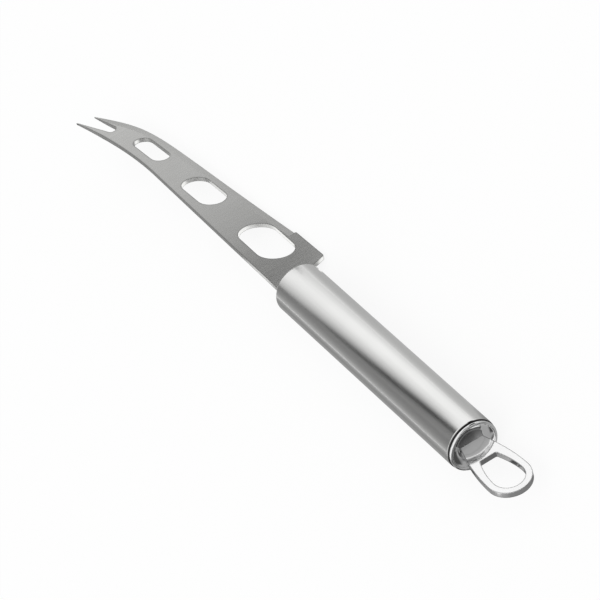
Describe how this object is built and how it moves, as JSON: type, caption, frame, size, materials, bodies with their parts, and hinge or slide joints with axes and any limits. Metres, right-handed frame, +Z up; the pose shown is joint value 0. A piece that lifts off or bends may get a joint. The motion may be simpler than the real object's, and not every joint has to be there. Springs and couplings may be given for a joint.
{
  "type": "cheese knife",
  "caption": "Steel cheese knife: pierced blade with a forked tip, round hollow handle with a dished end and a flat hanging loop.",
  "frame": {"origin": "middle of the knife's bounding box in plan, on the table that the knife lies on", "axes": "+X along the handle from the butt to the fork, +Y to the side of the blade's spine, +Z up as the knife comes to rest on its handle and on the heel of its blade, which rolls the blade 35.3 degrees about X from level, spine up"},
  "size_m": [0.26, 0.0213, 0.018],
  "materials": {
    "blade_steel": "fine satin, ground bevel on the cutting edge",
    "plug_steel": "turned, satin",
    "handle_steel": "brushed lengthways",
    "polished_steel": "mirror polished stainless steel"
  },
  "bodies": {
    "root": {"blade": "blade_steel", "front_plug": "plug_steel", "handle_tube": "handle_steel", "end_cup": "polished_steel", "hanging_loop": "polished_steel"}
  },
  "joints": []
}
